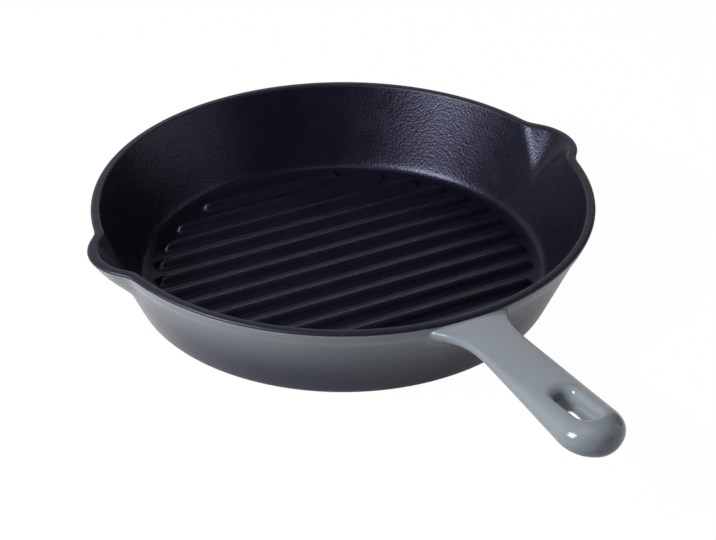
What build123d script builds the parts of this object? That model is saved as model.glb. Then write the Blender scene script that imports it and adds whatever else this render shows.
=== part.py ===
"""Round enamelled cast iron grill pan with two pouring spouts and a short cast handle.

The pan stands on the plane z = 0 with its middle on the Z axis. The handle points along +X and the two
spouts along +Y and -Y. The ribs on the floor run from spout to spout. Lengths are in millimetres.
The iron and its enamel coats come from the same forms: each form takes an inset, which moves its faces
into the metal, so the iron is the form with the enamel's thickness taken off.
"""
import os
from math import cos, floor, radians, sqrt, tan

from build123d import *

# Bowl
rim_radius = 130.6
pan_height = 48.4
wall_lean = 23.1
base_corner = 3.3
wall_thickness = 4.0
floor_thickness = 4.4
floor_corner = 8.0
rim_edge = 1.3

# Thicker band round the outside, just under the rim
band_height = 7.6
band_proud = 0.6

# Pouring spouts
spout_proud = 9.5
spout_width = 58.4
spout_depth = 24.0
spout_toe = 9.0
spout_toe_proud = 3.8
spout_toe_edge = 4.0
spout_blend = 8.0
spout_tip_wall = 6.1
spout_side_wall = 4.7
groove_depth = 19.6
groove_toe = 4.6
groove_toe_proud = 0.76
groove_toe_edge = 2.4

# Ribs on the floor
rib_pitch = 14.85
rib_height = 3.5
rib_top_width = 4.0
rib_draft = 16.0
rib_edge = 1.1
rib_end_gap = 7.8

# Handle
handle_length = 111.9
handle_nose = 15.0
handle_neck_length = 26.4
handle_root_drop = 0.9
handle_rise = 5.6
handle_width = 31.7
handle_neck_width = 25.4
handle_root_width = 66.0
handle_thickness = 17.5
handle_neck_thickness = 11.0
handle_root_thickness = 23.0
handle_crown = 8.5
handle_neck_crown = 2.4

# Hanging hole in the handle
hole_length = 28.0
hole_width = 11.0
hole_end_wall = 10.5
hole_lip = 2.2

# Enamel
enamel_thickness = 0.4

# How far a cutting form runs past the face that it cuts
overrun = 20.0

# Shares, chosen by eye: how full the handle's corners are, where the stations of its root and nose stand
# between the wall and the neck or the nose and the tip, and how far the root's flare has died away there
top_fullness_share = 0.66
side_fullness_share = 0.56
root_place_shares = (0.0, 0.24, 0.40, 0.56, 0.77, 1.0)
root_flare_shares = (1.0, 0.60, 0.37, 0.19, 0.05, 0.0)
nose_place_shares = (0.26, 0.50, 0.70, 0.85, 0.95)

# Worked out from the sizes above
lean_slope = tan(radians(wall_lean))
lean_normal = 1 / cos(radians(wall_lean))
wall_top_radius = rim_radius - band_proud * lean_normal
base_radius = wall_top_radius - pan_height * lean_slope
base_flat_radius = base_radius - base_corner * tan(radians(90 - wall_lean) / 2)
rim_zone = pan_height - rim_edge
spout_toe_height = pan_height - spout_depth
groove_toe_height = pan_height - groove_depth
spout_reach = rim_radius + spout_proud
groove_reach = spout_reach - spout_tip_wall
groove_width = spout_width - 2 * spout_side_wall
handle_tip = rim_radius + handle_length
handle_neck_place = rim_radius + handle_neck_length
handle_slope = tan(radians(handle_rise))
neck_top = pan_height - handle_root_drop + handle_neck_length * handle_slope
nose_start = handle_tip - handle_nose
hole_place = handle_tip - hole_end_wall - hole_length / 2
rib_top = floor_thickness + rib_height
rib_spread = tan(radians(rib_draft))


def outer_radius(height, inset):
    """Radius of the plain outside wall at a height, with the wall moved in along its normal."""
    return base_radius + height * lean_slope - inset * lean_normal


def inner_radius(height, outset):
    """Radius of the inside wall at a height, with the wall moved out along its normal."""
    return outer_radius(height, wall_thickness - outset)


spout_toe_place = outer_radius(spout_toe_height, 0) + spout_toe_proud - spout_toe
groove_toe_place = inner_radius(groove_toe_height, 0) + groove_toe_proud - groove_toe
rib_end_radius = inner_radius(floor_thickness, 0) - rib_end_gap
rib_side_count = floor((rib_end_radius - rib_top_width) / rib_pitch)


def cone(reach, width, depth, toe, toe_place, toe_edge, side, grow, top):
    """A slanting cone for a spout or its groove, from its mouth at the height top down to its toe."""
    with BuildPart() as form:
        with BuildSketch(Plane.XY.offset(top)):
            with Locations((0, side * (reach - width / 2))):
                Circle(width / 2 + grow * lean_normal)
        with BuildSketch(Plane.XY.offset(pan_height - depth - grow)):
            with Locations((0, side * toe_place)):
                Circle(toe + grow * lean_normal)
        loft()
        fillet(form.edges().group_by(Axis.Z)[0], toe_edge)
    return form.part


def is_blend_edge(edge):
    """True for the long edges where a spout's flank runs down the wall."""
    box = edge.bounding_box()
    return box.size.Z > spout_toe and box.max.Z > rim_zone - rim_edge and abs(edge.center().Y) > base_radius


def bowl_form(inset):
    """The bowl's outside as a full body with both spouts, every face moved in by inset."""
    top = pan_height - inset
    band_low = pan_height - band_height
    band_end = band_low - 2 * band_proud
    band_out = inset - band_proud
    sizes = (spout_reach, spout_width, spout_depth, spout_toe, spout_toe_place, spout_toe_edge)
    spouts = [cone(*sizes, side, -inset, top) for side in (1, -1)]
    with BuildPart() as form:
        with BuildSketch(Plane.XZ):
            with BuildLine():
                Polyline(
                    (0, inset),
                    (outer_radius(inset, inset), inset),
                    (outer_radius(top, inset), top),
                    (0, top),
                    close=True,
                )
            make_face()
        revolve(axis=Axis.Z)
        fillet(form.edges().group_by(Axis.Z)[0], base_corner - inset)
        for spout in spouts:
            add(spout)
        fillet(form.edges().filter_by(is_blend_edge), spout_blend + inset)
        with BuildSketch(Plane.XZ):
            with BuildLine():
                Polyline(
                    (0, top),
                    (outer_radius(top, band_out), top),
                    (outer_radius(band_low, band_out), band_low + inset),
                    (outer_radius(band_end, inset + band_proud), band_end),
                    (0, band_end),
                    close=True,
                )
            make_face()
        revolve(axis=Axis.Z)
        fillet(form.faces().sort_by(Axis.Z)[-1].outer_wire().edges(), rim_edge - inset)
    return form.part


def cavity_form(outset):
    """The room inside the bowl with both spout grooves, every face moved out by outset."""
    low = floor_thickness - outset
    high = pan_height + overrun
    sizes = (groove_reach, groove_width, groove_depth, groove_toe, groove_toe_place, groove_toe_edge)
    grooves = [cone(*sizes, side, outset, pan_height + outset) for side in (1, -1)]
    with BuildPart() as form:
        with BuildSketch(Plane.XZ):
            with BuildLine():
                Polyline(
                    (0, low),
                    (inner_radius(low, outset), low),
                    (inner_radius(high, outset), high),
                    (0, high),
                    close=True,
                )
            make_face()
        revolve(axis=Axis.Z)
        fillet(form.edges().group_by(Axis.Z)[0], floor_corner + outset)
        for groove in grooves:
            add(groove)
    return form.part


def rib_form(inset):
    """All the ribs, standing in the floor, with their faces moved in by inset."""
    foot = floor_thickness / 2
    height = rib_top - inset - foot
    with BuildPart() as form:
        for number in range(-rib_side_count, rib_side_count + 1):
            place = number * rib_pitch
            half_length = sqrt(rib_end_radius**2 - place**2)
            spread = height * rib_spread
            with BuildSketch(Plane.XY.offset(foot)):
                with Locations((place, 0)):
                    Rectangle(
                        rib_top_width + 2 * (spread - inset * lean_normal),
                        2 * (half_length - inset),
                    )
            extrude(amount=height, taper=rib_draft)
        fillet(form.edges().group_by(Axis.Z)[-1], rib_edge - inset)
    return form.part


def handle_section(place, half_width, top, crown, thickness):
    """One cross-section of the handle: rounded over its crown and full underneath."""
    widest = top - crown
    low = top - thickness
    under = thickness - crown
    top_pull = half_width * top_fullness_share
    low_pull = half_width * side_fullness_share
    with BuildSketch(Plane(origin=(place, 0, 0), x_dir=(0, 1, 0), z_dir=(1, 0, 0))) as section:
        with BuildLine():
            Bezier(
                (half_width, widest),
                (half_width, widest + crown * side_fullness_share),
                (top_pull, top),
                (0, top),
            )
            Bezier(
                (0, top),
                (-top_pull, top),
                (-half_width, widest + crown * side_fullness_share),
                (-half_width, widest),
            )
            Bezier(
                (-half_width, widest),
                (-half_width, widest - under * side_fullness_share),
                (-low_pull, low),
                (0, low),
            )
            Bezier(
                (0, low),
                (low_pull, low),
                (half_width, widest - under * side_fullness_share),
                (half_width, widest),
            )
        make_face()
    return section.sketch


def handle_form(inset):
    """The handle with its flared root, round nose and hanging hole, every face moved in by inset."""
    sections = []
    for place_share, flare in zip(root_place_shares, root_flare_shares):
        place = base_radius + (handle_neck_place - base_radius) * place_share
        half_width = (handle_neck_width + (handle_root_width - handle_neck_width) * flare) / 2
        thickness = handle_neck_thickness + (handle_root_thickness - handle_neck_thickness) * flare
        top = neck_top + (place - handle_neck_place) * handle_slope
        crown = handle_neck_crown * (1 + flare)
        sections.append(
            handle_section(place, half_width - inset, top - inset, crown - inset / 2, thickness - 2 * inset)
        )
    nose_top = neck_top + (nose_start - handle_neck_place) * handle_slope
    sections.append(
        handle_section(
            nose_start,
            handle_width / 2 - inset,
            nose_top - inset,
            handle_crown - inset,
            handle_thickness - 2 * inset,
        )
    )
    for share in nose_place_shares:
        breadth = sqrt(1 - share**2)
        depth = (1 - share**3) ** (1 / 3)
        sections.append(
            handle_section(
                nose_start + (handle_nose - inset) * share,
                (handle_width / 2 - inset) * breadth,
                nose_top - handle_crown + (handle_crown - inset) * depth,
                (handle_crown - inset) * depth,
                (handle_thickness - 2 * inset) * depth,
            )
        )
    tip = Vertex(handle_tip - inset, 0, nose_top - handle_crown)
    bar = loft([*sections, tip])
    with BuildPart() as form:
        add(bar)
        with BuildSketch():
            with Locations((hole_place, 0)):
                SlotOverall(hole_length + 2 * inset, hole_width + 2 * inset)
        extrude(amount=pan_height + overrun, mode=Mode.SUBTRACT)
        fillet(form.edges().filter_by(is_lip_edge), hole_lip - inset)
    return form.part


def is_lip_edge(edge):
    """True for the edges where the hanging hole meets the handle's top and underside."""
    box = edge.bounding_box()
    near = abs(edge.center().X - hole_place) < hole_length / 2 + enamel_thickness
    narrow = box.size.X < hole_length and abs(edge.center().Y) < hole_width
    return near and narrow and box.size.Z < hole_lip


def level_box(low, high):
    """A block over the whole pan between two heights."""
    span = 2 * (handle_tip + overrun)
    with BuildPart() as block:
        with BuildSketch(Plane.XY.offset(low)):
            Rectangle(span, span)
        extrude(amount=high - low)
    return block.part


bowl = bowl_form(0)
handle = handle_form(0)
room = cavity_form(0)
ribs = rib_form(0)
iron_bowl = bowl_form(enamel_thickness)
iron_handle = handle_form(enamel_thickness)
iron_room = cavity_form(enamel_thickness)
iron_ribs = rib_form(enamel_thickness)
over_rim = level_box(rim_zone, pan_height + overrun)
under_rim = level_box(-overrun, rim_zone)

# The casting: bowl, spouts, ribs and handle in one pour
with BuildPart() as iron_casting:
    add(iron_bowl)
    add(iron_handle)
    add(iron_room, mode=Mode.SUBTRACT)
    add(iron_ribs)

# Satin cooking enamel over the floor, the ribs, the inside wall and the spout grooves
with BuildPart() as inner_enamel:
    add(iron_room)
    add(room, mode=Mode.SUBTRACT)
    add(ribs)
    add(iron_room, mode=Mode.INTERSECT)
    add(iron_ribs, mode=Mode.SUBTRACT)
    add(over_rim, mode=Mode.SUBTRACT)

# Dark band that wraps the top of the rim and runs round both spouts
with BuildPart() as rim_enamel:
    add(bowl)
    add(under_rim, mode=Mode.SUBTRACT)
    add(room, mode=Mode.SUBTRACT)
    add(iron_casting.part, mode=Mode.SUBTRACT)

# Gloss enamel over the outside wall, the spouts' undersides and the handle
with BuildPart() as outer_enamel:
    add(bowl)
    add(over_rim, mode=Mode.SUBTRACT)
    add(handle)
    add(iron_bowl, mode=Mode.SUBTRACT)
    add(iron_handle, mode=Mode.SUBTRACT)
    add(iron_room, mode=Mode.SUBTRACT)
    add(rim_enamel.part, mode=Mode.SUBTRACT)
    with BuildSketch(Plane.XY.offset(-overrun)):
        Circle(base_flat_radius)
    extrude(amount=overrun + floor_thickness, mode=Mode.SUBTRACT)

# Enamel coat on the flat underside, which the pan rests on
with BuildPart() as base_enamel:
    with BuildSketch():
        Circle(base_flat_radius)
    extrude(amount=enamel_thickness)

if __name__ == "__main__":
    os.makedirs("parts", exist_ok=True)
    iron_casting.part.label = "iron_casting"
    inner_enamel.part.label = "inner_enamel"
    rim_enamel.part.label = "rim_enamel"
    outer_enamel.part.label = "outer_enamel"
    base_enamel.part.label = "base_enamel"
    export_step(iron_casting.part, "parts/iron_casting.step")
    export_step(inner_enamel.part, "parts/inner_enamel.step")
    export_step(rim_enamel.part, "parts/rim_enamel.step")
    export_step(outer_enamel.part, "parts/outer_enamel.step")
    export_step(base_enamel.part, "parts/base_enamel.step")
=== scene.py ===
"""Dresses the round enamelled grill pan with its smooth coats, its cast body and a plain white studio.

Sizes of the bowl, the handle and the ribs are millimetres, measured from the plane that the pan stands on,
with the handle along +X and the pouring spouts along +Y and -Y. Each mesh is brought to metres when it is
finished. Sizes of the finishes and the studio are metres. A table is read as a smooth curve.
"""

import logging
import math
from bisect import bisect_right
from collections.abc import Callable
from dataclasses import dataclass
from enum import Enum
from functools import cached_property, lru_cache

import bmesh
import bpy
from mathutils import Matrix, Quaternion, Vector


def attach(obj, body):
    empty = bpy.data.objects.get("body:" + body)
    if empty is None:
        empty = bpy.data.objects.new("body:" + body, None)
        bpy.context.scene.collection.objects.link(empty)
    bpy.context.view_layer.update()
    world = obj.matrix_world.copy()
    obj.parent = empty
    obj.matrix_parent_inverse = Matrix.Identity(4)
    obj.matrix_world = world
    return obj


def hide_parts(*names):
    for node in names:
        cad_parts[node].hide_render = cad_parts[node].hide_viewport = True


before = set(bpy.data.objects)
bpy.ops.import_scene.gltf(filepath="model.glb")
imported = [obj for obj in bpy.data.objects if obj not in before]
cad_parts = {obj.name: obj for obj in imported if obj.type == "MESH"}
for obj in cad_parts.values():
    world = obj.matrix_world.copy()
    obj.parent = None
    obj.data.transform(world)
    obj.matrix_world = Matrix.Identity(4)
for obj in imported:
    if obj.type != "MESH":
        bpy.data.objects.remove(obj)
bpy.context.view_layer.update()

LOG = logging.getLogger("grill_pan")
METRES = 0.001

# Heights that several of the sub-assemblies share
RIM_HEIGHT = 48.4
FLOOR_HEIGHT = 4.4

# Searches by halving: how many steps they take, and how far beyond a wall's radius they look
SEARCH_STEPS = 30
SEARCH_MARGIN = 4.0

# The dome of the handle's nose closes at 1, so it is read only up to here
NEARLY_ONE = 0.9999

# How strongly one smoothing pass pulls a point towards its neighbours
EASE = 0.5

# The numbers of a Mix node's two colour inputs and of its colour output
MIX_COLOURS = (6, 7)
MIX_RESULT = 2

Point = tuple[float, float]
Table = tuple[Point, ...]
Key = tuple[int, int]
Colour = tuple[float, float, float]
Place = tuple[float, float, float]
Work = bmesh.types.BMesh
Vert = bmesh.types.BMVert
Face = bmesh.types.BMFace
Mesh = bpy.types.Mesh
Piece = bpy.types.Object
Material = bpy.types.Material
Socket = bpy.types.NodeSocket


class Coat(Enum):
    """The coat that a strip of the pan's skin belongs to. The value is its material index."""

    OUTER = 0
    RIM = 1
    INNER = 2
    BASE = 3


class Side(Enum):
    """Which of the two long faces of the handle a point lies on."""

    TOP = 1
    UNDER = -1


Loops = dict[Side, list[Vert]]


def smooth_value(table: Table, place: float) -> float:
    """Reads a smooth curve through a table of points.

    Args:
        table: pairs of place and value, with rising places.
        place: where the curve is read; it is held inside the table.

    Returns:
        The value of the curve there.
    """
    place = min(max(place, table[0][0]), table[-1][0])
    index = min(max(bisect_right([p for p, _ in table], place) - 1, 0), len(table) - 2)
    (x0, y0), (x1, y1) = table[index], table[index + 1]
    width = x1 - x0
    chord = (y1 - y0) / width
    before = table[index - 1] if index else None
    after = table[index + 2] if index + 2 < len(table) else None
    slope0 = (y1 - before[1]) / (x1 - before[0]) if before else chord
    slope1 = (after[1] - y0) / (after[0] - x0) if after else chord
    t = (place - x0) / width
    return (
        y0 * (1 + 2 * t) * (1 - t) ** 2
        + slope0 * width * t * (1 - t) ** 2
        + y1 * t * t * (3 - 2 * t)
        + slope1 * width * t * t * (t - 1)
    )


def corner_arc(before: Point, corner: Point, after: Point, radius: float, steps: int) -> list[Point]:
    """Rounds a corner of an outline.

    Args:
        before: a point on the line that comes into the corner.
        corner: the sharp corner.
        after: a point on the line that leaves the corner.
        radius: radius of the rounding.
        steps: number of steps that the arc is divided into.

    Returns:
        The points of the arc, from one tangent point to the other.
    """
    tip = Vector(corner)
    inward = (Vector(before) - tip).normalized()
    onward = (Vector(after) - tip).normalized()
    half = inward.angle(onward) / 2
    centre = tip + (inward + onward).normalized() * (radius / math.sin(half))
    start = tip + inward * (radius / math.tan(half)) - centre
    end = tip + onward * (radius / math.tan(half)) - centre
    sweep = math.pi - 2 * half
    points = []
    for step in range(steps + 1):
        share = step / steps
        spoke = (start * math.sin((1 - share) * sweep) + end * math.sin(share * sweep)) / math.sin(sweep)
        points.append(tuple(centre + spoke))
    return points


def blended(first: float, second: float, blend: float) -> float:
    """The lesser of two distances, with a soft fillet of the given size where they are alike."""
    near = max(blend - abs(first - second), 0.0) / blend
    return min(first, second) - near * near * blend / 4


def furthest(low: float, high: float, holds: Callable[[float], bool]) -> float:
    """Finds by halving how far a condition holds.

    Args:
        low: a value where it holds.
        high: a value beyond which it doesn't.
        holds: the condition.

    Returns:
        The last value where it holds.
    """
    for _ in range(SEARCH_STEPS):
        middle = (low + high) / 2
        if holds(middle):
            low = middle
        else:
            high = middle
    return low


def only(kind: type, items: list) -> list:
    """Picks the items of one kind, such as the new points among all that an operator made."""
    return [item for item in items if isinstance(item, kind)]


def finished_mesh(name: str, work: Work) -> Mesh:
    """Turns a bmesh into a mesh.

    Args:
        name: the mesh's name.
        work: the bmesh, which is freed.

    Returns:
        The mesh.
    """
    mesh = bpy.data.meshes.new(name)
    work.to_mesh(mesh)
    work.free()
    return mesh


def shown(name: str, data: bpy.types.ID) -> Piece:
    """Puts a mesh, a light or a camera into the scene.

    Args:
        name: the object's name.
        data: what it shows.

    Returns:
        The object.
    """
    made = bpy.data.objects.new(name, data)
    bpy.context.scene.collection.objects.link(made)
    return made


@dataclass(frozen=True)
class Spout:
    """The outside or the inside of a pouring lip, as circles that shrink on their way down the wall.

    The tables give, for a depth below the rim, the furthest reach from the pan's middle and the radius.
    """

    reach: Table
    radius: Table
    blend: float

    def wall_reach(self, wall: float, angle: float, depth: float) -> float:
        """How far the wall with its spout reaches in one direction.

        Args:
            wall: radius of the plain wall at this depth.
            angle: angle from the middle of the spout, in radians.
            depth: depth below the rim.

        Returns:
            The radius of the wall and spout together.
        """
        radius = smooth_value(self.radius, depth)
        middle = smooth_value(self.reach, depth) - radius

        def inside(trial: float) -> bool:
            """True where a radius stays inside the wall or the spout."""
            lobe = math.hypot(trial * math.sin(angle), trial * math.cos(angle) - middle) - radius
            return blended(trial - wall, lobe, self.blend) < 0

        return furthest(wall - SEARCH_MARGIN, max(wall, middle + radius) + SEARCH_MARGIN, inside)


@dataclass(frozen=True)
class ProfilePoint:
    """One point of the bowl's outline: place, how far it belongs to the inside, and the coat that follows."""

    radius: float
    height: float
    inside: float
    coat: Coat


def drawn_on(mesh: Work, faces: list[Face]) -> tuple[list[Vert], list[Face]]:
    """Extrudes a patch of faces, with nothing left behind inside.

    Args:
        mesh: the bmesh that they belong to.
        faces: the patch.

    Returns:
        The new patch's points and faces, still where the old ones were.
    """
    edges = dict.fromkeys(edge for face in faces for edge in face.edges)
    made = bmesh.ops.extrude_face_region(mesh, geom=[*faces, *edges])["geom"]
    return only(Vert, made), only(Face, made)


@dataclass(frozen=True)
class Skin:
    """A bmesh of the whole pan's skin, with the layers that tell where each point belongs."""

    mesh: Work
    row: bmesh.types.BMLayerItem
    column: bmesh.types.BMLayerItem
    station: bmesh.types.BMLayerItem


@dataclass(frozen=True)
class Bowl:
    """The bowl: base, outside wall with its band, rim, spouts, inside wall and floor. Angles are degrees."""

    height: float = RIM_HEIGHT
    base_radius: float = 109.05
    lean: float = 23.1
    wall: float = 4.0
    floor: float = FLOOR_HEIGHT
    base_corner: float = 3.3
    floor_corner: float = 5.0
    corner_steps: int = 3
    band: float = 0.75
    band_top: float = 42.2
    band_foot: float = 38.6
    rim_outer_edge: float = 1.4
    rim_outer_steps: int = 4
    rim_inner_edge: float = 1.2
    columns: int = 192
    crowding: float = 0.4
    same_point: float = 0.01
    settle_passes: int = 12
    base_rings: tuple[float, ...] = (0.0, 35.0, 70.0, 95.0, 104.0)
    outer_rows: tuple[float, ...] = (5.5, 11.0, 17.0, 22.4, 25.9, 29.4, 32.9, 36.4, 38.6, 40.4, 42.2, 44.2)
    inner_rows: tuple[float, ...] = (45.2, 42.2, 39.2, 36.2, 33.2, 30.2, 27.2, 23.5, 19.0, 14.0)
    floor_rings: tuple[float, ...] = (95.0, 70.0, 40.0, 15.0, 0.0)
    spout_half_angle: float = 24.0
    spout_depth: float = 31.0
    spout: Spout = Spout(
        reach=(
            (0.0, 139.55), (2.0, 138.8), (5.7, 136.3), (10.1, 133.2), (14.3, 129.7), (18.7, 125.7),
            (22.1, 122.0), (26.0, 117.4), (32.0, 110.0),
        ),
        radius=(
            (0.0, 28.8), (5.7, 24.3), (10.1, 20.6), (14.3, 17.0), (18.7, 13.2), (22.1, 10.6), (26.0, 8.0),
            (32.0, 6.0),
        ),
        blend=2.6,
    )
    groove: Spout = Spout(
        reach=((0.0, 134.0), (18.6, 118.2), (30.0, 108.5)),
        radius=((0.0, 24.5), (18.6, 3.6), (24.0, 2.0), (30.0, 2.0)),
        blend=1.3,
    )

    @property
    def slope(self) -> float:
        """How much the wall's radius grows for each millimetre of height."""
        return math.tan(math.radians(self.lean))

    def outer_line(self, height: float) -> float:
        """Radius of the outside wall with its band, at a height."""
        share = min(max((height - self.band_foot) / (self.band_top - self.band_foot), 0.0), 1.0)
        return self.base_radius + height * self.slope + self.band * share * share * (3 - 2 * share)

    def inner_line(self, height: float) -> float:
        """Radius of the inside wall at a height."""
        return self.base_radius + height * self.slope - self.wall / math.cos(math.radians(self.lean))

    def outer_point(self, height: float) -> Point:
        """Point of the outside wall's line at a height."""
        return self.outer_line(height), height

    def inner_point(self, height: float) -> Point:
        """Point of the inside wall's line at a height."""
        return self.inner_line(height), height

    @cached_property
    def points(self) -> list[ProfilePoint]:
        """Draws the outline that is turned into the bowl.

        Returns:
            Its points, from the middle of the base, over the rim, to the middle of the floor.
        """
        top, floor, steps = self.height, self.floor, self.corner_steps
        halfway = (top + floor) / 2
        outer_top = self.outer_point(top)
        inner_side = self.inner_point(halfway)
        outer_side = self.outer_point(halfway)
        foot = corner_arc((0.0, 0.0), (self.base_radius, 0.0), outer_side, self.base_corner, steps)
        lip = corner_arc(
            self.outer_point(self.band_top), outer_top, (0.0, top), self.rim_outer_edge, self.rim_outer_steps
        )
        edge = corner_arc(outer_top, self.inner_point(top), inner_side, self.rim_inner_edge, steps)
        heel = corner_arc(inner_side, self.inner_point(floor), (0.0, floor), self.floor_corner, steps)
        points = [ProfilePoint(radius, 0.0, 0.0, Coat.BASE) for radius in self.base_rings]
        points += [ProfilePoint(*point, 0.0, Coat.OUTER) for point in foot]
        points += [ProfilePoint(*self.outer_point(height), 0.0, Coat.OUTER) for height in self.outer_rows]
        points += [ProfilePoint(*point, 0.0, Coat.RIM if n else Coat.OUTER) for n, point in enumerate(lip)]
        points.append(ProfilePoint((lip[-1][0] + edge[0][0]) / 2, top, 0.5, Coat.RIM))
        points += [
            ProfilePoint(*point, 1.0, Coat.RIM if n < steps else Coat.INNER) for n, point in enumerate(edge)
        ]
        points += [ProfilePoint(*self.inner_point(height), 1.0, Coat.INNER) for height in self.inner_rows]
        points += [ProfilePoint(*point, 1.0, Coat.INNER) for point in heel]
        points += [ProfilePoint(radius, floor, 1.0, Coat.INNER) for radius in self.floor_rings]
        return points

    def crowded(self, angle: float) -> float:
        """Moves an evenly spaced angle so that columns stand closer at the handle and the spouts."""
        return angle - self.crowding / 4 * math.sin(4 * angle)

    def skin_radius(self, point: ProfilePoint, angle: float) -> float:
        """Radius of the bowl's skin for an outline point in one direction, spouts included.

        Args:
            point: the outline point.
            angle: direction from +X, in radians.

        Returns:
            The radius in that direction.
        """
        from_spout = abs(abs(angle) - math.pi / 2)
        depth = self.height - point.height
        if from_spout > math.radians(self.spout_half_angle) or depth > self.spout_depth:
            return point.radius
        outer, inner = self.outer_line(point.height), self.inner_line(point.height)
        outside = self.spout.wall_reach(outer, from_spout, depth) - outer
        inside = self.groove.wall_reach(inner, from_spout, depth) - inner
        return point.radius + (1 - point.inside) * outside + point.inside * inside

    def turn(self) -> Skin:
        """Turns the outline about the middle and draws out the spouts.

        Returns:
            The closed skin, with its rows and columns marked.
        """
        mesh = bmesh.new()
        row = mesh.verts.layers.int.new("row")
        column = mesh.verts.layers.int.new("column")
        station = mesh.verts.layers.int.new("station")
        chain = []
        for number, point in enumerate(self.points):
            vert = mesh.verts.new((point.radius, 0.0, point.height))
            vert[row] = number
            chain.append(vert)
        edges = [mesh.edges.new(pair) for pair in zip(chain, chain[1:])]
        bmesh.ops.spin(
            mesh, geom=chain + edges, cent=(0, 0, 0), axis=(0, 0, 1), dvec=(0, 0, 0), angle=2 * math.pi,
            steps=self.columns, use_merge=True, use_normal_flip=False, use_duplicate=False,
        )
        bmesh.ops.remove_doubles(mesh, verts=mesh.verts[:], dist=self.same_point)
        step = 2 * math.pi / self.columns
        for vert in mesh.verts:
            angle = math.atan2(vert.co.y, vert.co.x)
            vert[column] = round(angle / step)
            point = self.points[vert[row]]
            if point.radius == 0.0:
                continue
            angle = self.crowded(angle)
            radius = self.skin_radius(point, angle)
            vert.co = (radius * math.cos(angle), radius * math.sin(angle), point.height)
        for face in mesh.faces:
            face.material_index = self.points[min(vert[row] for vert in face.verts)].coat.value
        bmesh.ops.recalc_face_normals(mesh, faces=mesh.faces[:])
        return Skin(mesh, row, column, station)

    def settle_wall(self, skin: Skin, verts: list[Vert]) -> None:
        """Eases points of the outside wall away from crowding and puts them back on the wall.

        Args:
            skin: the pan's skin.
            verts: the points that may move.
        """
        for _ in range(self.settle_passes):
            bmesh.ops.smooth_vert(
                skin.mesh, verts=verts, factor=EASE, use_axis_x=False, use_axis_y=True, use_axis_z=True
            )
            for vert in verts:
                radius = self.outer_line(vert.co.z)
                vert.co.x = math.sqrt(max(radius**2 - vert.co.y**2, 0.0))


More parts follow.
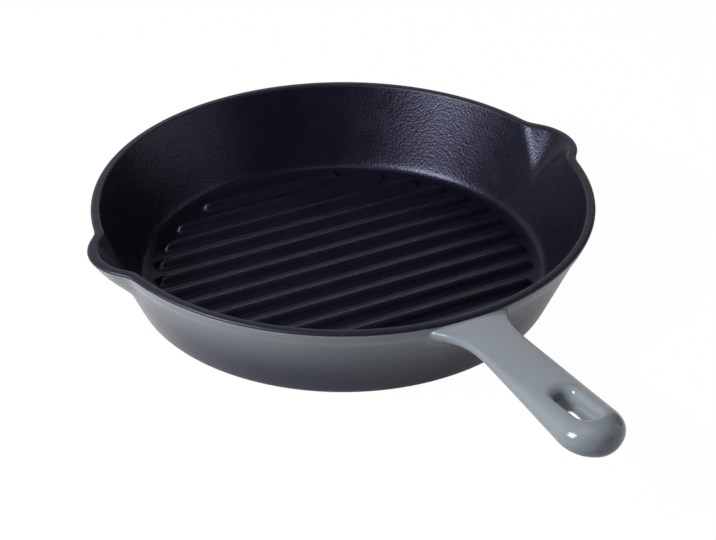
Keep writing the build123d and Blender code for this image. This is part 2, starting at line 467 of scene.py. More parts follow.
@dataclass(frozen=True)
class Handle:
    """The handle, drawn out of the bowl's outside wall, with its hanging hole.

    Its tables go by the place along +X, and their heights are from the rim's plane. A pull says how full a
    quarter of the cross-section is, from 0 for a flat slope to 1 for a square corner.
    """

    bowl: Bowl
    rim: float = RIM_HEIGHT
    half_columns: int = 8
    wall_rows: tuple[float, float] = (29.4, 46.0)
    root_shares: tuple[float, ...] = (0.09, 0.23, 0.41, 0.61, 0.81)
    root_guess: float = 126.0
    root_pull: float = 0.6
    root_tries: int = 25
    settled_columns: int = 5
    settled_rows: int = 3
    stations: tuple[float, ...] = (
        146.0, 151.0, 157.0, 163.5, 170.0, 176.5, 183.0, 189.0, 194.5, 199.5, 204.0, 207.8, 210.7, 213.14,
        215.57, 218.0, 220.43, 222.86, 225.3, 228.2, 231.8, 235.0, 237.6, 239.7, 241.2,
    )
    half_width: Table = (
        (112.0, 33.0), (118.0, 28.2), (123.0, 24.7), (127.0, 22.0), (131.5, 19.4), (137.0, 16.5),
        (142.6, 14.6), (148.0, 13.5), (154.0, 12.85), (160.0, 12.8), (175.0, 13.5), (200.0, 14.65),
        (227.5, 15.9),
    )
    top: Table = ((112.0, -3.2), (129.2, -1.5), (131.5, -0.78), (135.0, -0.33), (140.0, 0.16), (227.5, 8.5))
    under: Table = (
        (112.0, -27.0), (118.0, -21.0), (122.5, -17.3), (127.0, -14.6), (132.0, -12.3), (138.0, -10.5),
        (144.0, -9.5), (150.0, -9.05), (157.0, -8.87), (180.0, -8.8), (227.5, -8.3),
    )
    crown: Table = ((112.0, 2.9), (129.2, 2.1), (133.5, 2.6), (140.0, 2.1), (157.0, 1.7), (227.5, 9.1))
    top_pull: Table = ((118.0, 0.4), (134.0, 0.5), (150.0, 0.66), (227.5, 0.66))
    side_pull: float = 0.56
    curve_steps: int = 32
    nose_start: float = 227.5
    nose_length: float = 14.9
    hole_middle: float = 216.4
    hole_straight: float = 7.9
    hole_radius: float = 4.5
    hole_lip: float = 4.0
    hole_low_lip: float = 3.0
    hole_columns: int = 5
    hole_stations: tuple[float, float] = (207.8, 228.2)
    hole_cuts: int = 7
    lip_rungs: int = 3
    eased_before: int = 5
    eased_after: int = 3
    ease_passes: int = 16

    def sizes(self, place: float) -> tuple[float, float, float, float]:
        """Sizes of the cross-section at a place.

        Args:
            place: place along +X.

        Returns:
            Half width, height of the widest line, crown above that line, and depth below it.
        """
        at = min(place, self.nose_start)
        half_width = smooth_value(self.half_width, at)
        top = self.rim + smooth_value(self.top, at)
        crown = smooth_value(self.crown, at)
        depth = top - crown - self.rim - smooth_value(self.under, at)
        share = min(max((place - self.nose_start) / self.nose_length, 0.0), NEARLY_ONE)
        breadth = math.sqrt(1 - share**2)
        fullness = (1 - share**3) ** (1 / 3)
        return half_width * breadth, top - crown, crown * fullness, depth * fullness

    def quarter_point(self, t: float, pull: float) -> Point:
        """Reads the curve that rounds a quarter of a cross-section.

        Args:
            t: how far along the curve, from 0 at the widest line to 1 at the middle of the face.
            pull: how full the curve is on the face's side.

        Returns:
            Its distance across, as a share of the half width, and its rise, as a share of the crown or depth.
        """
        across = (1 - t) ** 3 + 3 * (1 - t) ** 2 * t + 3 * (1 - t) * t * t * pull
        rise = 3 * (1 - t) ** 2 * t * self.side_pull + 3 * (1 - t) * t * t + t**3
        return across, rise

    @lru_cache(maxsize=None)
    def half_section(self, place: float, count: int) -> list[Point]:
        """Evenly spaced points round half of a cross-section.

        Args:
            place: place along +X.
            count: number of intervals.

        Returns:
            Pairs of side distance and height, from the middle of the top to the middle of the underside.
        """
        half_width, level, crown, depth = self.sizes(place)
        top_pull = smooth_value(self.top_pull, place)
        fine = []
        for step in range(-self.curve_steps, self.curve_steps + 1):
            above = step <= 0
            pull = top_pull if above else self.side_pull
            across, rise = self.quarter_point(abs(step) / self.curve_steps, pull)
            fine.append((half_width * across, level + (crown if above else -depth) * rise))
        lengths = [0.0]
        for (y0, z0), (y1, z1) in zip(fine, fine[1:]):
            lengths.append(lengths[-1] + math.hypot(y1 - y0, z1 - z0))
        points = []
        for number in range(count + 1):
            goal = lengths[-1] * number / count
            index = min(max(bisect_right(lengths, goal) - 1, 0), len(fine) - 2)
            share = (goal - lengths[index]) / (lengths[index + 1] - lengths[index])
            (y0, z0), (y1, z1) = fine[index], fine[index + 1]
            points.append((y0 + (y1 - y0) * share, z0 + (z1 - z0) * share))
        return points

    def face_height(self, place: float, across: float, side: Side) -> float:
        """Height of one of the handle's faces at a point seen from above.

        Args:
            place: place along +X.
            across: distance from the handle's middle line.
            side: the top or the underside.

        Returns:
            The height.
        """
        half_width, level, crown, depth = self.sizes(place)
        goal = min(abs(across) / half_width, 1.0)
        pull = smooth_value(self.top_pull, place) if side is Side.TOP else self.side_pull
        t = furthest(0.0, 1.0, lambda trial: self.quarter_point(trial, pull)[0] > goal)
        return level + (crown if side is Side.TOP else -depth) * self.quarter_point(t, pull)[1]

    def slot_point(self, travel: float, offset: float) -> Point:
        """A point on the hanging hole's outline.

        Args:
            travel: how far round the outline of the outer lip the point lies, from the end nearest the tip.
            offset: how far outside the hole's narrowest outline the point lies.

        Returns:
            Its place along +X and across.
        """
        outer, radius = self.hole_radius + self.hole_lip, self.hole_radius + offset
        near = min(travel, self.slot_travel() - travel)
        along = min(max(near - outer * math.pi / 2, 0.0), 2 * self.hole_straight)
        angle = (near - along) / outer
        across = radius * math.sin(angle)
        place = self.hole_middle + self.hole_straight - along + radius * math.cos(angle)
        return place, across if near == travel else -across

    def slot_travel(self) -> float:
        """Length of the outline of the hole's outer lip."""
        return 2 * math.pi * (self.hole_radius + self.hole_lip) + 4 * self.hole_straight

    def slot_bearing(self, vert: Vert) -> float:
        """Direction of a point from the hole's middle, rising from just before straight ahead."""
        hair = 1e-6
        return (math.atan2(vert.co.y, vert.co.x - self.hole_middle) + hair) % (2 * math.pi)

    @cached_property
    def rows(self) -> tuple[int, int]:
        """The lowest and the highest of the outside wall's rows that the handle grows from."""
        outside = {n: point.height for n, point in enumerate(self.bowl.points) if point.coat is Coat.OUTER}
        return tuple(min(outside, key=lambda n: abs(outside[n] - height)) for height in self.wall_rows)

    def ring_index(self, key: Key) -> int | None:
        """Finds where a point of the patch lies on the ring round the handle.

        Args:
            key: the point's column, counted from the handle's middle line, and its row.

        Returns:
            Its place on the half ring, counted from the middle of the top, or None inside the patch.
        """
        column, row = abs(key[0]), key[1]
        half, (low, high) = self.half_columns, self.rows
        if row == high:
            return column
        if column == half:
            return half + (high - row)
        if row == low:
            return half + (high - low) + (half - column)
        return None

    def ring_point(self, place: float, key: Key) -> Vector:
        """Finds a point of the ring round the handle.

        Args:
            place: place along +X.
            key: the point's column and row.

        Returns:
            The point.
        """
        low, high = self.rows
        count = 2 * self.half_columns + (high - low)
        across, level = self.half_section(place, count)[self.ring_index(key)]
        return Vector((place, math.copysign(across, key[0]) if key[0] else 0.0, level))

    def wall_point(self, key: Key) -> Vector:
        """Finds where a line along the handle meets the outside wall.

        Args:
            key: the line's column and row.

        Returns:
            The point on the wall.
        """
        place = self.root_guess
        for _ in range(self.root_tries):
            point = self.ring_point(place, key)
            radius = self.bowl.outer_line(point.z)
            place += self.root_pull * (math.sqrt(radius**2 - point.y**2) - place)
        return self.ring_point(place, key)

    def draw_out(self, skin: Skin) -> None:
        """Extrudes the handle from the wall, ring by ring, and rounds its nose.

        Args:
            skin: the pan's skin.
        """
        half, (low, high) = self.half_columns, self.rows
        verts = {
            vert for vert in skin.mesh.verts
            if abs(vert[skin.column]) <= half and low <= vert[skin.row] <= high
        }
        faces = [face for face in skin.mesh.faces if all(vert in verts for vert in face.verts)]
        roots = {}
        for vert in verts:
            key = (vert[skin.column], vert[skin.row])
            if self.ring_index(key) is not None:
                roots[key] = self.wall_point(key)
                vert.co = roots[key]
        near = [
            vert for vert in skin.mesh.verts
            if vert not in verts and abs(vert[skin.column]) <= half + self.settled_columns
            and low - self.settled_rows <= vert[skin.row] < high
        ]
        self.bowl.settle_wall(skin, near)
        rings = [(self.stations[0], share) for share in self.root_shares]
        rings += [(place, 1.0) for place in self.stations]
        for number, (place, share) in enumerate(rings, start=1):
            fresh, faces = drawn_on(skin.mesh, faces)
            for vert in fresh:
                key = (vert[skin.column], vert[skin.row])
                vert[skin.station] = number
                if key in roots:
                    start = roots[key].x
                    vert.co = self.ring_point(start * (1 - share) + place * share, key)
        self.round_nose(skin, {vert for face in faces for vert in face.verts})

    def round_nose(self, skin: Skin, verts: set[Vert]) -> None:
        """Spreads the last patch over the nose's dome.

        Args:
            skin: the pan's skin.
            verts: the points of the last patch.
        """
        half, (low, high) = self.half_columns, self.rows
        width, level, crown, depth = self.sizes(self.nose_start)
        keys = {vert: (vert[skin.column], vert[skin.row]) for vert in verts}
        ring = {key: vert.co.copy() for vert, key in keys.items() if self.ring_index(key) is not None}
        for vert, (column, row) in keys.items():
            if (column, row) in ring:
                continue
            far, up = (column + half) / (2 * half), (row - low) / (high - low)
            near, down = 1 - far, 1 - up
            spot = (
                ring[column, low] * down + ring[column, high] * up + ring[-half, row] * near
                + ring[half, row] * far - ring[-half, low] * near * down - ring[half, low] * far * down
                - ring[-half, high] * near * up - ring[half, high] * far * up
            )
            tall = crown if spot.z > level else depth

            def beside(share: float) -> bool:
                """True where the dome, at a share of its length, is still wider than the point's place."""
                across = spot.y / (width * math.sqrt(1 - share**2))
                return math.hypot(across, (spot.z - level) / (tall * (1 - share**3) ** (1 / 3))) < 1

            reach = furthest(0.0, NEARLY_ONE, beside)
            vert.co = (self.nose_start + self.nose_length * reach, spot.y, spot.z)

    def open_hole(self, skin: Skin) -> None:
        """Cuts the hanging hole and rolls its lips over both faces.

        Args:
            skin: the pan's skin.
        """
        mesh = skin.mesh
        before = len(self.root_shares) + 1
        first, last = (self.stations.index(place) + before for place in self.hole_stations)
        doomed = []
        loops: Loops = {}
        for side, row in zip(Side, reversed(self.rows)):
            patch = {
                vert for vert in mesh.verts
                if vert[skin.row] == row and abs(vert[skin.column]) <= self.hole_columns
                and first <= vert[skin.station] <= last
            }
            doomed += [face for face in mesh.faces if all(vert in patch for vert in face.verts)]
            border = [
                vert for vert in patch
                if abs(vert[skin.column]) == self.hole_columns or vert[skin.station] in (first, last)
            ]
            loops[side] = sorted(border, key=self.slot_bearing)
        bmesh.ops.delete(mesh, geom=doomed, context="FACES")
        travel = self.slot_travel()
        for side, loop in loops.items():
            lip = self.hole_lip if side is Side.TOP else self.hole_low_lip
            for number, vert in enumerate(loop):
                x, y = self.slot_point(travel * number / len(loop), lip)
                vert.co = (x, y, self.face_height(x, y, side))
        self.ease_faces(skin, loops, first, last)
        self.line_hole(skin, loops)

    def ease_faces(self, skin: Skin, loops: Loops, first: int, last: int) -> None:
        """Spreads the points round the hole evenly over the handle's top and underside.

        Args:
            skin: the pan's skin.
            loops: the points of the hole's outline on each face, which stay.
            first: the ring where the hole begins.
            last: the ring where it ends.
        """
        for side, row in zip(Side, reversed(self.rows)):
            fixed = set(loops[side])
            free = [
                vert for vert in skin.mesh.verts
                if vert[skin.row] == row and vert[skin.station] and vert not in fixed
                and abs(vert[skin.column]) < self.half_columns - 1
                and first - self.eased_before <= vert[skin.station] <= last + self.eased_after
            ]
            for _ in range(self.ease_passes):
                bmesh.ops.smooth_vert(
                    skin.mesh, verts=free, factor=EASE, use_axis_x=True, use_axis_y=True, use_axis_z=False
                )
            for vert in free:
                vert.co.z = self.face_height(vert.co.x, vert.co.y, side)

    def line_hole(self, skin: Skin, loops: Loops) -> None:
        """Bridges the hole's two outlines and gives the wall between them its rolled lips.

        Args:
            skin: the pan's skin.
            loops: the points of the hole's outline on each face, in the same order.
        """
        mesh = skin.mesh
        edges = []
        for loop in loops.values():
            edges += [mesh.edges.get(pair) for pair in zip(loop, loop[1:] + loop[:1])]
        ends = [(high.co.copy(), low.co.copy()) for high, low in zip(loops[Side.TOP], loops[Side.UNDER])]
        bridge = bmesh.ops.bridge_loops(mesh, edges=edges)
        for face in bridge["faces"]:
            face.material_index = Coat.OUTER.value
        rungs = self.hole_cuts + 1
        cut = bmesh.ops.subdivide_edges(mesh, edges=bridge["edges"], cuts=rungs - 1, use_grid_fill=True)
        travel = self.slot_travel()
        for vert in only(Vert, cut["geom_inner"]):
            number = min(range(len(ends)), key=lambda n: (ends[n][0].xy - vert.co.xy).length)
            top, low = ends[number][0].z, ends[number][1].z
            rung = round((top - vert.co.z) / (top - low) * rungs)
            from_end = min(rung, rungs - rung)
            out, level = 0.0, (top + low) / 2
            if from_end <= self.lip_rungs:
                turn = math.pi / 2 * from_end / self.lip_rungs
                upper = rung == from_end
                lip = self.hole_lip if upper else self.hole_low_lip
                deep = lip * (1 - math.cos(turn))
                out = lip * (1 - math.sin(turn))
                level = top - deep if upper else low + deep
            vert.co = (*self.slot_point(travel * number / len(ends), out), level)


@dataclass(frozen=True)
class Ribs:
    """The ribs that stand on the floor and run from spout to spout, each drawn up from its foot.

    The levels give half widths and heights from the foot up, and the loops how far from the end each stands.
    """

    count_each_side: int = 6
    pitch: float = 14.85
    floor: float = FLOOR_HEIGHT
    end_radius: float = 99.0
    end_slope: float = 1.4
    foot_flare: float = 2.8
    levels: tuple[Point, ...] = (
        (6.4, -0.06), (5.2, 0.03), (4.3, 0.25), (3.6, 0.85), (3.05, 1.8), (2.5, 2.78), (1.7, 3.34),
        (0.8, 3.5),
    )
    end_loops: tuple[float, ...] = (0.0, 0.9, 3.0, 12.0)
    end_widths: tuple[float, ...] = (0.45, 0.84, 1.0, 1.0)

    def grow(self) -> Work:
        """Draws every rib up from a strip on the floor.

        Returns:
            A bmesh of all the ribs, open underneath.
        """
        mesh = bmesh.new()
        for number in range(-self.count_each_side, self.count_each_side + 1):
            place = number * self.pitch
            self.draw_rib(mesh, place, math.sqrt(self.end_radius**2 - place**2))
        bmesh.ops.recalc_face_normals(mesh, faces=mesh.faces[:])
        for face in mesh.faces:
            face.material_index = Coat.INNER.value
        return mesh

    def draw_rib(self, mesh: Work, place: float, length: float) -> None:
        """Draws one rib.

        Args:
            mesh: the bmesh that it is added to.
            place: its place along +X.
            length: half its length along Y, at its foot.
        """
        loops = len(self.end_loops)
        segments = 2 * loops
        grid = bmesh.ops.create_grid(mesh, x_segments=2, y_segments=segments, size=1.0)
        keys = {vert: (round(vert.co.x), round((vert.co.y + 1) * segments / 2)) for vert in grid["verts"]}
        underneath = list(dict.fromkeys(face for vert in grid["verts"] for face in vert.link_faces))
        faces = underneath
        widest = self.levels[0][0]
        for number, (half_width, rise) in enumerate(self.levels):
            if number:
                old = {tuple(vert.co): key for vert, key in keys.items()}
                fresh, faces = drawn_on(mesh, faces)
                keys = {vert: old[tuple(vert.co)] for vert in fresh}
            end = length + self.foot_flare - self.end_slope * (widest - half_width)
            for vert, (across, along) in keys.items():
                from_end = min(along, segments - along)
                near = self.end_loops[from_end] if from_end < loops else end
                taper = self.end_widths[from_end] if from_end < loops else 1.0
                vert.co = (
                    place + across * half_width * taper,
                    math.copysign(end - near, along - segments / 2),
                    self.floor + rise,
                )
        bmesh.ops.delete(mesh, geom=underneath, context="FACES")


class Grain(Enum):
    """How a coat's fine surface is made."""

    GLASSY = "glassy"
    PEBBLED = "pebbled"
    GROUND = "ground"


class Cloud(Enum):
    """How fine a noise is: its detail, and how rough that detail is."""

    SIMPLE = (1.0, 0.5)
    PLAIN = (3.0, 0.5)
    GRITTY = (3.0, 0.7)
    PATCHY = (4.0, 0.6)
    SANDY = (4.0, 0.7)


class NodeBoard:
    """A small helper that lays out a material's nodes. Sizes and heights are metres."""

    def __init__(self, name: str) -> None:
        """Starts a material whose node tree holds only its output and the object's own coordinates.

        Args:
            name: the material's name.
        """
        self.material = bpy.data.materials.new(name)
        self.material.use_nodes = True
        self.tree = self.material.node_tree
        self.tree.nodes.clear()
        self.surface = self.add("ShaderNodeOutputMaterial").inputs["Surface"]
        self.object_place = self.add("ShaderNodeTexCoord").outputs["Object"]

    def add(self, kind: str, **constants: float) -> bpy.types.Node:
        """Adds a node.

        Args:
            kind: the node's type.
            constants: values for its inputs, by name, with an underscore for each space.

        Returns:
            The node.
        """
        node = self.tree.nodes.new(kind)
        for name, value in constants.items():
            node.inputs[name.replace("_", " ")].default_value = value
        return node

    def feed(self, target: Socket, source: Socket | Colour | float) -> None:
        """Links an input to another node's output, or sets it to a colour or a number.

        Args:
            target: the input.
            source: what goes into it.
        """
        if isinstance(source, bpy.types.NodeSocket):
            self.tree.links.new(source, target)
        else:
            target.default_value = (*source, 1.0) if isinstance(source, tuple) else source

    def noise(self, size: float, cloud: Cloud) -> Socket:
        """Makes cloudy noise.

        Args:
            size: about how large its patches are.
            cloud: how fine it is.

        Returns:
            Its value.
        """
        detail, rough = cloud.value
        node = self.add("ShaderNodeTexNoise", Scale=1 / size, Detail=detail, Roughness=rough)
        self.feed(node.inputs["Vector"], self.object_place)
        return node.outputs["Fac"]

    def pebbles(self, size: float, softness: float = 0.6) -> Socket:
        """Makes rounded cells.

        Args:
            size: about how large they are.
            softness: how softly they run into each other.

        Returns:
            Their height.
        """
        node = self.add("ShaderNodeTexVoronoi", Scale=1 / size)
        node.feature = "SMOOTH_F1"
        node.inputs["Smoothness"].default_value = softness
        self.feed(node.inputs["Vector"], self.object_place)
        return node.outputs["Distance"]

    def spread(
        self, source: Socket, low: float, high: float, start: float = 0.3, end: float = 0.7,
        soft: bool = False,
    ) -> Socket:
        """Stretches a value from one range onto another.

        Args:
            source: the value.
            low: where the new range starts.
            high: where the new range ends.
            start: where the value's range starts.
            end: where the value's range ends.
            soft: whether the value eases into both ends.

        Returns:
            The stretched value.
        """
        node = self.add("ShaderNodeMapRange", From_Min=start, From_Max=end, To_Min=low, To_Max=high)
        node.interpolation_type = "SMOOTHSTEP" if soft else "LINEAR"
        self.feed(node.inputs["Value"], source)
        return node.outputs["Result"]

    def mix(self, share: Socket, first: Socket | Colour, second: Socket | Colour) -> Socket:
        """Mixes two colours.

        Args:
            share: how much of the second colour there is.
            first: a colour.
            second: a colour.

        Returns:
            The mixed colour.
        """
        node = self.add("ShaderNodeMix")
        node.data_type = "RGBA"
        self.feed(node.inputs["Factor"], share)
        for index, colour in zip(MIX_COLOURS, (first, second)):
            self.feed(node.inputs[index], colour)
        return node.outputs[MIX_RESULT]

    def maths(self, operation: str, *terms: Socket | float) -> Socket:
        """Works out one operation.

        Args:
            operation: the math node's operation.
            terms: its terms, in order.

        Returns:
            The result.
        """
        node = self.add("ShaderNodeMath")
        node.operation = operation
        for target, term in zip(node.inputs, terms):
            self.feed(target, term)
        return node.outputs["Value"]

    def height(self) -> Socket:
        """Measures the height above the plane that the pan stands on.

        Returns:
            The height.
        """
        node = self.add("ShaderNodeSeparateXYZ")
        self.feed(node.inputs["Vector"], self.object_place)
        return node.outputs["Z"]

    def distance_out(self) -> Socket:
        """Measures the distance from the pan's middle line.

        Returns:
            The distance.
        """
        flat = self.add("ShaderNodeVectorMath")
        flat.operation = "MULTIPLY"
        flat.inputs[1].default_value = (1.0, 1.0, 0.0)
        self.feed(flat.inputs[0], self.object_place)
        length = self.add("ShaderNodeVectorMath")
        length.operation = "LENGTH"
        self.feed(length.inputs[0], flat.outputs["Vector"])
        return length.outputs["Value"]

    def bump(self, height: Socket, depth: float, under: Socket | None = None) -> Socket:
        """Raises the surface.

        Args:
            height: how high it is raised, as a share of the depth.
            depth: the greatest height.
            under: an earlier bump that this one lies on.

        Returns:
            The raised surface's normal.
        """
        node = self.add("ShaderNodeBump", Distance=depth)
        self.feed(node.inputs["Height"], height)
        if under is not None:
            self.feed(node.inputs["Normal"], under)
        return node.outputs["Normal"]

    def shader(self, colour: Socket, rough: Socket, normal: Socket) -> bpy.types.Node:
        """Makes the material's surface.

        Args:
            colour: its base colour.
            rough: its roughness.
            normal: its normal.

        Returns:
            The surface's shader, whose other inputs can still be set.
        """
        node = self.add("ShaderNodeBsdfPrincipled")
        self.feed(node.inputs["Base Color"], colour)
        self.feed(node.inputs["Roughness"], rough)
        self.feed(node.inputs["Normal"], normal)
        self.feed(self.surface, node.outputs["BSDF"])
        return node


@dataclass(frozen=True)
class Enamel:
    """A fired enamel coat: its colours, gloss and fine surface.

    The coat darkens to a painted shade near the pan's foot, and fades to the worn colour near the base's
    edge.
    """

    name: str
    colour: Colour
    second_colour: Colour
    grain: Grain
    patch_size: float = 0.03
    gloss_patch_share: float = 0.4
    roughness: tuple[float, float] = (0.2, 0.26)
    specular: float = 0.5
    tint: Colour = (1.0, 1.0, 1.0)
    # Painted shade towards the pan's foot: its dark colour, and the heights over which it fades out
    painted_foot_shade: Colour | None = None
    painted_shade_heights: tuple[float, float] = (0.009, 0.055)
    worn_colour: Colour | None = None
    worn_reach: tuple[float, float] = (0.094, 0.106)
    worn_share: float = 0.5
    wave_size: float = 0.006
    wave_depth: float = 0.00002
    grain_size: float = 0.001
    grain_depth: float = 0.00003
    fine_size_share: float = 0.6
    fine_depth_share: float = 0.5

    def build(self) -> Material:
        """Makes the coat's material.

        Returns:
            The material.
        """
        board = NodeBoard(self.name)
        patches = board.spread(board.noise(self.patch_size, Cloud.PATCHY), 0.0, 1.0)
        colour = board.mix(patches, self.colour, self.second_colour)
        if self.painted_foot_shade is not None:
            # Painted shade: the colour darkens towards the pan's foot by height, standing in for the floor's
            # shadow
            painted_shade_mask = board.spread(board.height(), 0.0, 1.0, *self.painted_shade_heights, soft=True)
            colour = board.mix(painted_shade_mask, self.painted_foot_shade, colour)
        if self.worn_colour is not None:
            worn = board.spread(board.distance_out(), 0.0, self.worn_share, *self.worn_reach)
            colour = board.mix(worn, colour, self.worn_colour)
        gloss_patches = board.noise(self.patch_size * self.gloss_patch_share, Cloud.PLAIN)
        rough = board.spread(gloss_patches, *self.roughness)
        waves = board.bump(board.noise(self.wave_size, Cloud.SIMPLE), self.wave_depth)
        if self.grain is Grain.PEBBLED:
            fine = board.noise(self.grain_size * self.fine_size_share, Cloud.SIMPLE)
            waves = board.bump(board.pebbles(self.grain_size), self.grain_depth, waves)
            waves = board.bump(fine, self.grain_depth * self.fine_depth_share, waves)
        elif self.grain is Grain.GROUND:
            waves = board.bump(board.noise(self.grain_size, Cloud.GRITTY), self.grain_depth, waves)
        shader = board.shader(colour, rough, waves)
        shader.inputs["Specular IOR Level"].default_value = self.specular
        shader.inputs["Specular Tint"].default_value = (*self.tint, 1.0)
        return board.material


@dataclass(frozen=True)
class RawIron:
    """Grey cast iron as it comes from the sand."""

    name: str = "sand_cast_iron"
    colour: Colour = (0.055, 0.055, 0.057)
    second_colour: Colour = (0.085, 0.083, 0.08)
    patch_size: float = 0.02
    gloss_patch_size: float = 0.004
    roughness: tuple[float, float] = (0.5, 0.68)
    sand_size: float = 0.0012
    sand_depth: float = 0.00012
    metallic: float = 0.7

    def build(self) -> Material:
        """Makes the iron's material.

        Returns:
            The material.
        """
        board = NodeBoard(self.name)
        patches = board.spread(board.noise(self.patch_size, Cloud.PATCHY), 0.0, 1.0)
        colour = board.mix(patches, self.colour, self.second_colour)
        rough = board.spread(board.noise(self.gloss_patch_size, Cloud.PLAIN), *self.roughness)
        sand = board.bump(board.noise(self.sand_size, Cloud.SANDY), self.sand_depth)
        board.shader(colour, rough, sand).inputs["Metallic"].default_value = self.metallic
        return board.material


FINISHES = {
    Coat.OUTER: Enamel(
        "gloss_graphite_enamel", (0.178, 0.199, 0.223), (0.168, 0.189, 0.213), Grain.GLASSY,
        # The dark colour at the foot is painted shade
        roughness=(0.15, 0.19), specular=0.32, tint=(0.9, 0.94, 1.0), painted_foot_shade=(0.004, 0.006, 0.024),
        wave_size=0.009, wave_depth=0.00001,
    ),
    Coat.RIM: Enamel(
        "charcoal_rim_enamel", (0.007, 0.0067, 0.013), (0.01, 0.0096, 0.0165), Grain.PEBBLED,
        patch_size=0.008, roughness=(0.36, 0.44), specular=0.3, tint=(0.72, 0.71, 1.0),
        grain_size=0.0016, grain_depth=0.00003,
    ),
    Coat.INNER: Enamel(
        "satin_black_enamel", (0.0022, 0.0022, 0.0058), (0.0034, 0.0034, 0.0078), Grain.PEBBLED,
        patch_size=0.02, roughness=(0.3, 0.38), specular=0.37, tint=(0.66, 0.67, 1.0),
        grain_size=0.0013, grain_depth=0.0001,
    ),
    Coat.BASE: Enamel(
        "ground_base_enamel", (0.012, 0.012, 0.015), (0.018, 0.018, 0.021), Grain.GROUND,
        patch_size=0.015, roughness=(0.5, 0.62), worn_colour=(0.0364, 0.0364, 0.043),
        grain_size=0.001, grain_depth=0.00004,
    ),
}


@dataclass(frozen=True)
class Pan:
    """The whole pan: makes its skin once and parts it into the coats and the casting under them."""

    bowl: Bowl = Bowl()
    handle: Handle = Handle(bowl)
    ribs: Ribs = Ribs()
    coat_thickness: float = 0.35
    casting_inset: float = 0.4

    def skin_mesh(self) -> Mesh:
        """Makes the pan's whole skin, smoothed.

        Returns:
            A mesh in metres, whose material indices name the coats.
        """
        skin = self.bowl.turn()
        self.handle.draw_out(skin)
        self.handle.open_hole(skin)
        return self.smoothed("pan_skin", skin.mesh)

    def smoothed(self, name: str, work: Work) -> Mesh:
        """Brings a bmesh to metres and smooths it with one step of subdivision.

        Args:
            name: name for the new mesh.
            work: the bmesh, in millimetres; it is freed.

        Returns:
            The smoothed mesh.
        """
        bmesh.ops.transform(work, matrix=Matrix.Scale(METRES, 4), verts=work.verts[:])
        mesh = finished_mesh(name, work)
        # The material indices name the coats, so each coat has a slot
        for _ in Coat:
            mesh.materials.append(None)
        holder = shown(name, mesh)
        modifier = holder.modifiers.new("soft", "SUBSURF")
        modifier.levels = modifier.render_levels = 1
        graph = bpy.context.evaluated_depsgraph_get()
        result = bpy.data.meshes.new_from_object(holder.evaluated_get(graph))
        bpy.data.objects.remove(holder)
        bpy.data.meshes.remove(mesh)
        return result

    def coat_piece(self, name: str, coat: Coat, meshes: list[Mesh]) -> Piece:
        """Makes one coat as a thin closed shell.

        Args:
            name: the piece's name.
            coat: which coat it is.
            meshes: the smoothed meshes that its faces are taken from.

        Returns:
            The new object.
        """
        work = self.gathered(meshes)
        other = [face for face in work.faces if face.material_index != coat.value]
        bmesh.ops.delete(work, geom=other, context="FACES")
        for edge in work.edges:
            edge.smooth = not edge.is_boundary
        piece = self.piece(name, work, FINISHES[coat].build())
        shell = piece.modifiers.new("thickness", "SOLIDIFY")
        shell.thickness = self.coat_thickness * METRES
        shell.offset = -1.0
        return piece

    def casting_piece(self, name: str, meshes: list[Mesh]) -> Piece:
        """Makes the casting that the coats lie on.

        Args:
            name: the piece's name.
            meshes: the smoothed meshes of the skin and the ribs.

        Returns:
            The new object.
        """
        piece = self.piece(name, self.gathered(meshes), RawIron().build())
        inset = piece.modifiers.new("under_the_coats", "DISPLACE")
        inset.mid_level = 0.0
        inset.strength = -self.casting_inset * METRES
        return piece

    def gathered(self, meshes: list[Mesh]) -> Work:
        """Copies meshes into one bmesh.

        Args:
            meshes: the meshes.

        Returns:
            The bmesh.
        """
        work = bmesh.new()
        for mesh in meshes:
            work.from_mesh(mesh)
        return work

    def piece(self, name: str, work: Work, material: Material) -> Piece:
        """Turns a bmesh into a smooth-shaded object with one material.

        Args:
            name: the object's name.
            work: the bmesh, which is freed.
            material: the material.

        Returns:
            The object.
        """
        for face in work.faces:
            face.smooth = True
            face.material_index = 0
        mesh = finished_mesh(name, work)
        mesh.materials.append(material)
        return shown(name, mesh)

    def build(self) -> list[Piece]:
        """Builds every piece, hides the imported part that it replaces, and lets it ride on the body.

        Returns:
            The pieces.
        """
        skin = self.skin_mesh()
        ribs = self.smoothed("rib_skin", self.ribs.grow())
        pieces = []
        for name, coat, node, slot, meshes in (
            ("outer_coat", Coat.OUTER, "outer_enamel", "gloss_graphite_enamel", [skin]),
            ("rim_coat", Coat.RIM, "rim_enamel", "charcoal_rim_enamel", [skin]),
            ("inner_coat", Coat.INNER, "inner_enamel", "satin_black_enamel", [skin, ribs]),
            ("base_coat", Coat.BASE, "base_enamel", "dark_base_enamel", [skin]),
        ):
            piece = self.coat_piece(name, coat, meshes)
            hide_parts(node)
            pieces.append(piece)
        casting = self.casting_piece("cast_body", [skin, ribs])
        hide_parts("iron_casting")
        pieces.append(casting)
        for piece in pieces:
            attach(piece, "root")
        bpy.data.meshes.remove(skin)
        bpy.data.meshes.remove(ribs)
        return pieces


@dataclass(frozen=True)
class Softbox:
    """A rectangular studio light that faces a point."""

    name: str
    place: Place
    aim: Place
    size: tuple[float, float]
    power: float

    def build(self) -> None:
        """Makes the light."""
        data = bpy.data.lights.new(self.name, "AREA")
        data.shape = "RECTANGLE"
        data.size, data.size_y = self.size
        data.energy = self.power
        light = shown(self.name, data)
        light.location = self.place
        light.rotation_mode = "QUATERNION"
        light.rotation_quaternion = (Vector(self.aim) - Vector(self.place)).to_track_quat("-Z", "Y")


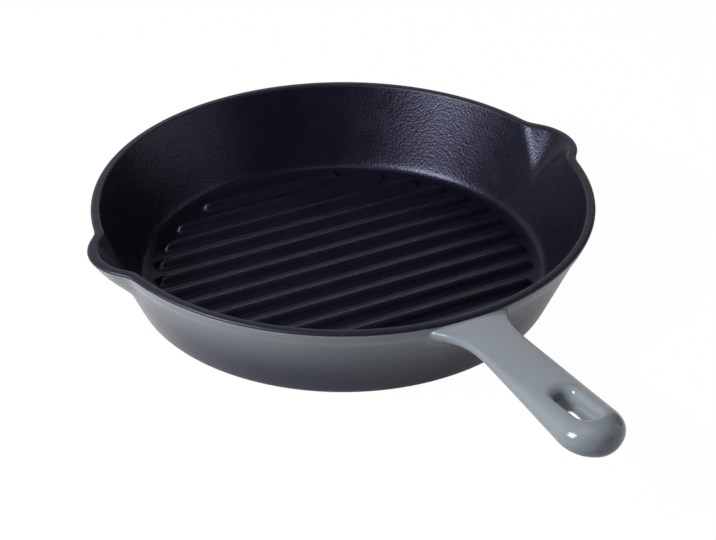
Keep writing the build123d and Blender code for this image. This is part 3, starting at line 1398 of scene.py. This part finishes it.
@dataclass(frozen=True)
class Studio:
    """The white floor, the soft lights and the camera at the photograph's angle.

    The whites are shares of plain white in the paper: where it is seen, and where it is mirrored close to the
    pan and far from it. The lower mirrored white close to the pan paints a shadow into reflections.
    """

    floor_size: float = 6.0
    floor_drop: float = 0.00005
    backdrop_place: float = -2.0
    backdrop_height: float = 1.7
    backdrop_bend: float = 0.5
    bend_segments: int = 12
    world_fill: float = 0.1
    white_seen: float = 0.98
    white_mirrored: tuple[float, float] = (0.35, 0.9)
    # Where the painted shadow in reflections fades out, by distance from the pan's middle
    painted_shadow_reach: tuple[float, float] = (0.112, 0.17)
    paper_lit: Colour = (0.5, 0.5, 0.5)
    paper_seen: Colour = (0.9, 0.9, 0.9)
    lights: tuple[Softbox, ...] = (
        Softbox("left_softbox", (0.06, -0.7, 0.55), (0.0, 0.0, 0.03), (0.3, 0.34), 12.6),
        Softbox("overhead_softbox", (0.1, -0.3, 1.6), (0.0, 0.0, 0.0), (1.0, 1.0), 3.5),
        Softbox("right_reflector", (0.6, 1.2, 0.4), (0.05, 0.0, 0.03), (1.3, 0.8), 3.6),
    )
    camera_place: Place = (0.7557, -0.3932, 0.5373)
    camera_back: Place = (0.7487, -0.3959, 0.5318)
    camera_roll: float = 0.07
    lens: float = 95.6
    sensor_width: float = 36.0
    shift: tuple[float, float] = (0.0054, -0.0013)

    def build(self) -> None:
        """Makes the floor, the world, the lights and the camera."""
        self.floor()
        self.world()
        for light in self.lights:
            light.build()
        self.camera()

    def floor(self) -> None:
        """Makes the pale floor that bends up into a backdrop behind the pan."""
        work = bmesh.new()
        half = self.floor_size / 2
        bmesh.ops.create_grid(work, x_segments=1, y_segments=1, size=half)
        middle = (self.backdrop_place + half, 0.0, -self.floor_drop)
        bmesh.ops.translate(work, verts=work.verts[:], vec=middle)
        fold = min(work.edges, key=lambda edge: sum(vert.co.x for vert in edge.verts))
        raised = bmesh.ops.extrude_edge_only(work, edges=[fold])
        bmesh.ops.translate(work, verts=only(Vert, raised["geom"]), vec=(0.0, 0.0, self.backdrop_height))
        bmesh.ops.bevel(
            work, geom=[fold], offset=self.backdrop_bend, offset_type="OFFSET", segments=self.bend_segments,
            profile=0.5, affect="EDGES", material=-1,
        )
        bmesh.ops.recalc_face_normals(work, faces=work.faces[:])
        for face in work.faces:
            face.smooth = True
        mesh = finished_mesh("studio_floor", work)
        mesh.materials.append(self.white_paper("studio_paper"))
        floor = shown("studio_floor", mesh)

    def white_paper(self, name: str) -> Material:
        """White paper that is white where it is seen or mirrored, and takes the pan's shadow.

        Close to the pan the mirrored white is lowered, a painted shadow in reflections, and the paper's own
        shade shows.

        Args:
            name: the material's name.

        Returns:
            The material.
        """
        board = NodeBoard(name)
        path = board.add("ShaderNodeLightPath")
        camera = path.outputs["Is Camera Ray"]
        mirrored = board.maths("MAXIMUM", path.outputs["Is Glossy Ray"], path.outputs["Is Transmission Ray"])
        # Painted shadow: close to the pan the mirrored glow is lowered, so reflections show the floor darker
        # there
        painted_shadow_glow = board.spread(board.distance_out(), *self.white_mirrored, *self.painted_shadow_reach, soft=True)
        share = board.maths("MULTIPLY_ADD", camera, self.white_seen, board.maths("MULTIPLY", mirrored, painted_shadow_glow))
        paint = board.add("ShaderNodeBsdfDiffuse")
        board.feed(paint.inputs["Color"], board.mix(camera, self.paper_lit, self.paper_seen))
        glow = board.add("ShaderNodeEmission", Strength=1.0)
        mix = board.add("ShaderNodeMixShader")
        board.feed(mix.inputs["Fac"], share)
        board.feed(mix.inputs[1], paint.outputs["BSDF"])
        board.feed(mix.inputs[2], glow.outputs["Emission"])
        board.feed(board.surface, mix.outputs["Shader"])
        return board.material

    def world(self) -> None:
        """Makes the world: a dim even fill."""
        world = bpy.data.worlds.new("studio_world")
        bpy.context.scene.world = world
        world.use_nodes = True
        tree = world.node_tree
        tree.nodes.clear()
        output = tree.nodes.new("ShaderNodeOutputWorld")
        fill = tree.nodes.new("ShaderNodeBackground")
        fill.inputs["Strength"].default_value = self.world_fill
        tree.links.new(fill.outputs["Background"], output.inputs["Surface"])

    def camera(self) -> None:
        """Makes the camera at the photograph's angle."""
        data = bpy.data.cameras.new("photo_camera")
        data.lens = self.lens
        data.sensor_width = self.sensor_width
        data.shift_x, data.shift_y = self.shift
        camera = shown("photo_camera", data)
        camera.location = self.camera_place
        turn = (-Vector(self.camera_back).normalized()).to_track_quat("-Z", "Y")
        camera.rotation_mode = "QUATERNION"
        camera.rotation_quaternion = turn @ Quaternion((0.0, 0.0, 1.0), math.radians(self.camera_roll))
        bpy.context.scene.camera = camera


def main() -> None:
    """Builds the pan and its studio."""
    logging.basicConfig(level=logging.INFO, format="%(message)s")
    bpy.context.scene.view_settings.view_transform = "Standard"
    for piece in Pan().build():
        LOG.info("%s: %d faces", piece.name, len(piece.data.polygons))
    Studio().build()


if __name__ == "__main__":
    main()
